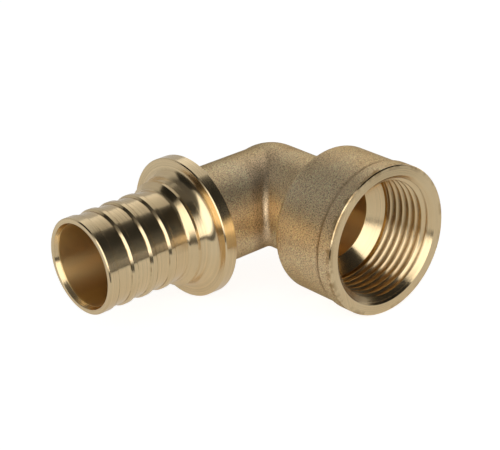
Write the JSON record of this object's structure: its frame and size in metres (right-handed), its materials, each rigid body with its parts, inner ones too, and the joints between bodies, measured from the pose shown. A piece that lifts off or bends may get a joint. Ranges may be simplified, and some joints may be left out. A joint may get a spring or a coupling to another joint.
{
  "type": "female threaded pex elbow",
  "caption": "Brass elbow with a female pipe-thread socket and, at a right angle, a ridged tail with a collar for a sliding-sleeve joint to plastic tube.",
  "frame": {"origin": "centre of the threaded mouth's face", "axes": "+Y out of the threaded mouth, +X along the tube tail towards its tip, +Z square to both legs"},
  "size_m": [0.0663, 0.0499, 0.0316],
  "materials": {
    "brass": "satin blasted forging with brightly turned tail, collar and bores"
  },
  "bodies": {
    "root": {"elbow_body": "brass"}
  },
  "joints": []
}
